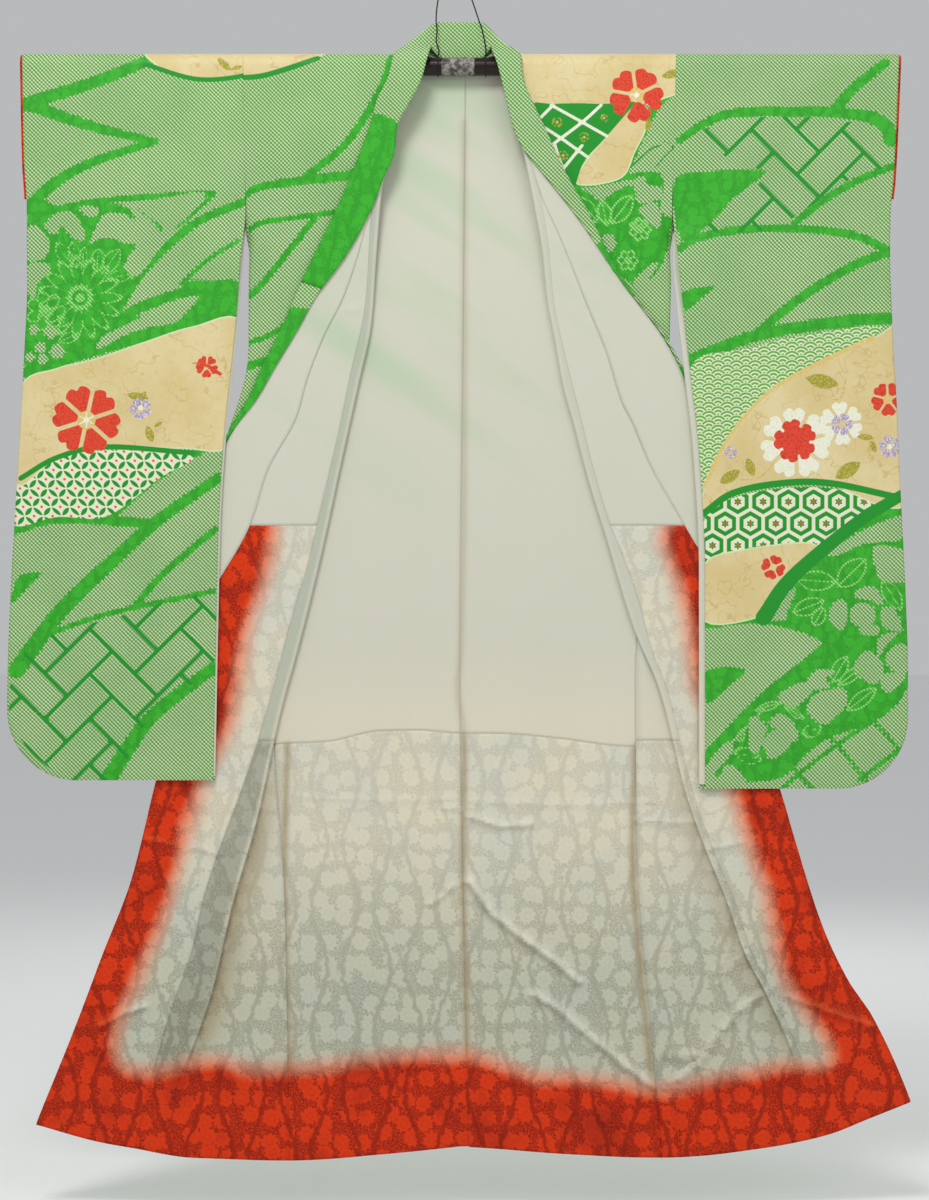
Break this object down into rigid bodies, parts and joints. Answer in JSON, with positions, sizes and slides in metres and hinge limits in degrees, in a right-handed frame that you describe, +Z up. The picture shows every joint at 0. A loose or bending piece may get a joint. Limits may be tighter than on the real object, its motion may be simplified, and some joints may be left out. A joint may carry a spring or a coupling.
{
  "type": "furisode kimono on a hanging rod",
  "caption": "Long-sleeved furisode kimono hung open on a lacquered rod, its fronts turned back to show a pale lining and a red hem.",
  "frame": {"origin": "middle of the rod that carries the kimono", "axes": "+X to the viewer's right along the rod, +Y from the open front to the back, +Z up"},
  "size_m": [1.3557, 0.0512, 1.8454],
  "materials": {
    "outer_cloth": "tie-dyed green silk crepe with gold and flower motifs",
    "collar_cloth": "tie-dyed green silk crepe",
    "white_silk": "plain pale silk lining",
    "hem_silk": "damask lining shaded from cream to orange red",
    "rod_lacquer": "dark maroon gloss lacquer",
    "clear_film": "crinkled clear film",
    "black_cord": "matt twisted cord",
    "ring_metal": "plain wire"
  },
  "bodies": {
    "root": {"back_left": "outer_cloth", "back_right": "outer_cloth", "front_left": "outer_cloth", "front_right": "outer_cloth", "okumi_left": "outer_cloth", "okumi_right": "outer_cloth", "okumi_end_left": "outer_cloth", "okumi_end_right": "outer_cloth", "sleeve_front_left": "outer_cloth", "sleeve_front_right": "outer_cloth", "sleeve_back_left": "outer_cloth", "sleeve_back_right": "outer_cloth", "collar": "collar_cloth", "overcollar": "collar_cloth", "back_lining_left": "white_silk", "back_lining_right": "white_silk", "front_lining_left": "white_silk", "front_lining_right": "white_silk", "okumi_lining_left": "white_silk", "okumi_lining_right": "white_silk", "collar_lining_left": "white_silk", "collar_lining_right": "white_silk", "sleeve_lining_left": "white_silk", "sleeve_lining_right": "white_silk", "back_hem_lining_left": "hem_silk", "back_hem_lining_right": "hem_silk", "front_hem_lining_left": "hem_silk", "front_hem_lining_right": "hem_silk", "okumi_hem_lining_left": "hem_silk", "okumi_hem_lining_right": "hem_silk", "cuff_lining_left": "hem_silk", "cuff_lining_right": "hem_silk", "rod": "rod_lacquer", "film_wrap": "clear_film", "cord_left": "black_cord", "cord_right": "black_cord", "hanging_ring": "ring_metal"}
  },
  "joints": []
}
